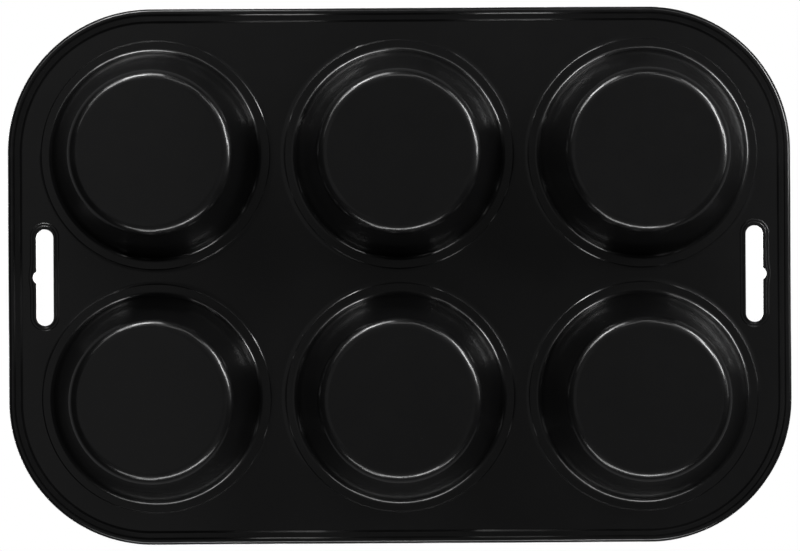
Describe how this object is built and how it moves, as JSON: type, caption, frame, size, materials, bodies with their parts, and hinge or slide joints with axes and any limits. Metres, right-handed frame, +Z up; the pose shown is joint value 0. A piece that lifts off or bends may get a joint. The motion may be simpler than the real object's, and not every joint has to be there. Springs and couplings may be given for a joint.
{
  "type": "muffin pan",
  "caption": "Rounded rectangular muffin pan with rows of round tapered cups, a rolled rim and a hanging slot in each end.",
  "frame": {"origin": "under the middle of the pan, level with the undersides of the cups that it stands on", "axes": "+X along the pan's length, +Y across its width towards the back, +Z up out of the cups"},
  "size_m": [0.265, 0.1814, 0.031],
  "materials": {
    "nonstick_coating": "black satin non-stick coating with a fine orange-peel texture on drawn steel sheet",
    "wire": "plain drawn steel wire"
  },
  "bodies": {
    "root": {"deck_plate": "nonstick_coating", "cup_back_left": "nonstick_coating", "cup_back_middle": "nonstick_coating", "cup_back_right": "nonstick_coating", "cup_front_left": "nonstick_coating", "cup_front_middle": "nonstick_coating", "cup_front_right": "nonstick_coating", "rolled_rim": "nonstick_coating", "rim_wire": "wire"}
  },
  "joints": []
}
